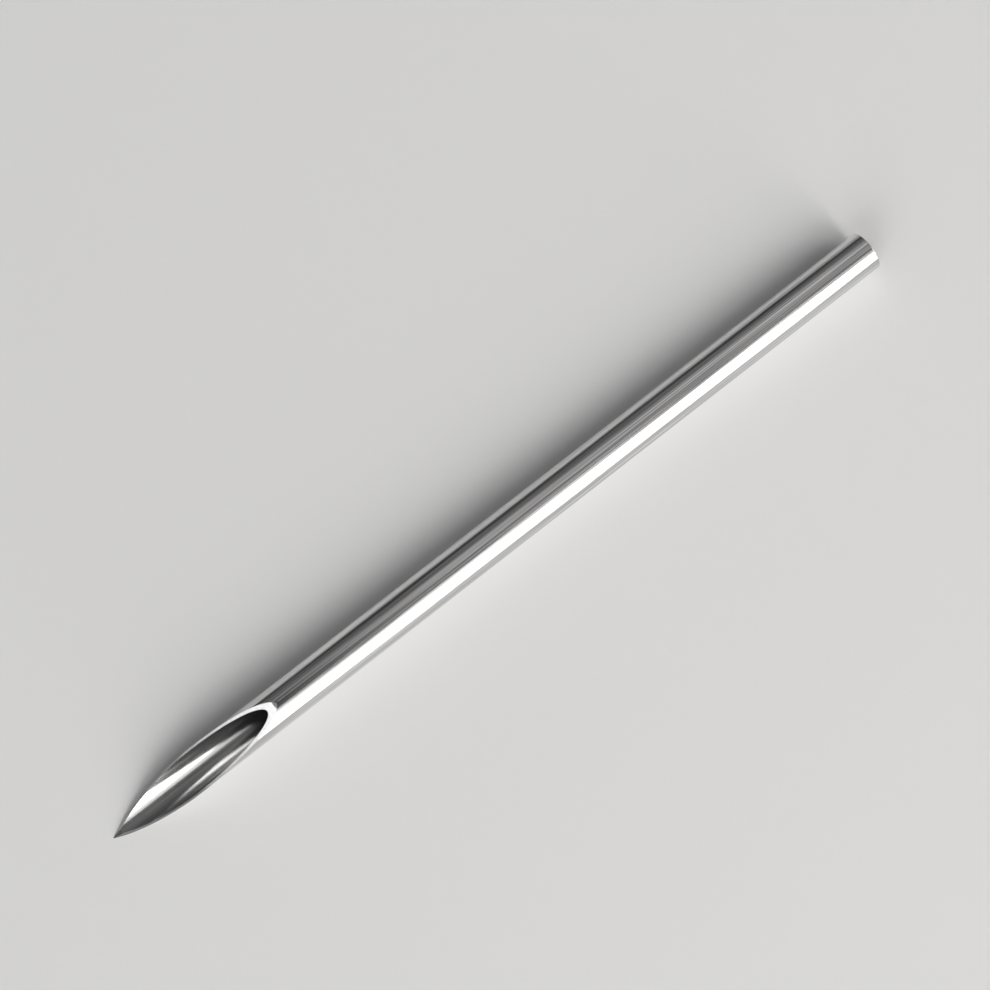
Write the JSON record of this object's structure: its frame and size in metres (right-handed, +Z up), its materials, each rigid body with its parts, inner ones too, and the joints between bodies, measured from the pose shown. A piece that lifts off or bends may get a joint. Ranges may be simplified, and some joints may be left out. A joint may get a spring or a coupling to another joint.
{
  "type": "piercing needle",
  "caption": "Hollow straight needle of thin drawn steel tube, with a long bevelled lancet point and a square-cut open butt.",
  "frame": {"origin": "on the surface the needle lies on, under the middle of its length", "axes": "+X along the needle from the point to the butt, +Z up, the way the opening of the bevel faces"},
  "size_m": [0.0508, 0.0022, 0.0022],
  "materials": {
    "drawn_steel": "bright drawn stainless steel with fine lengthwise draw lines and polished ground faces"
  },
  "bodies": {
    "root": {"needle": "drawn_steel"}
  },
  "joints": []
}
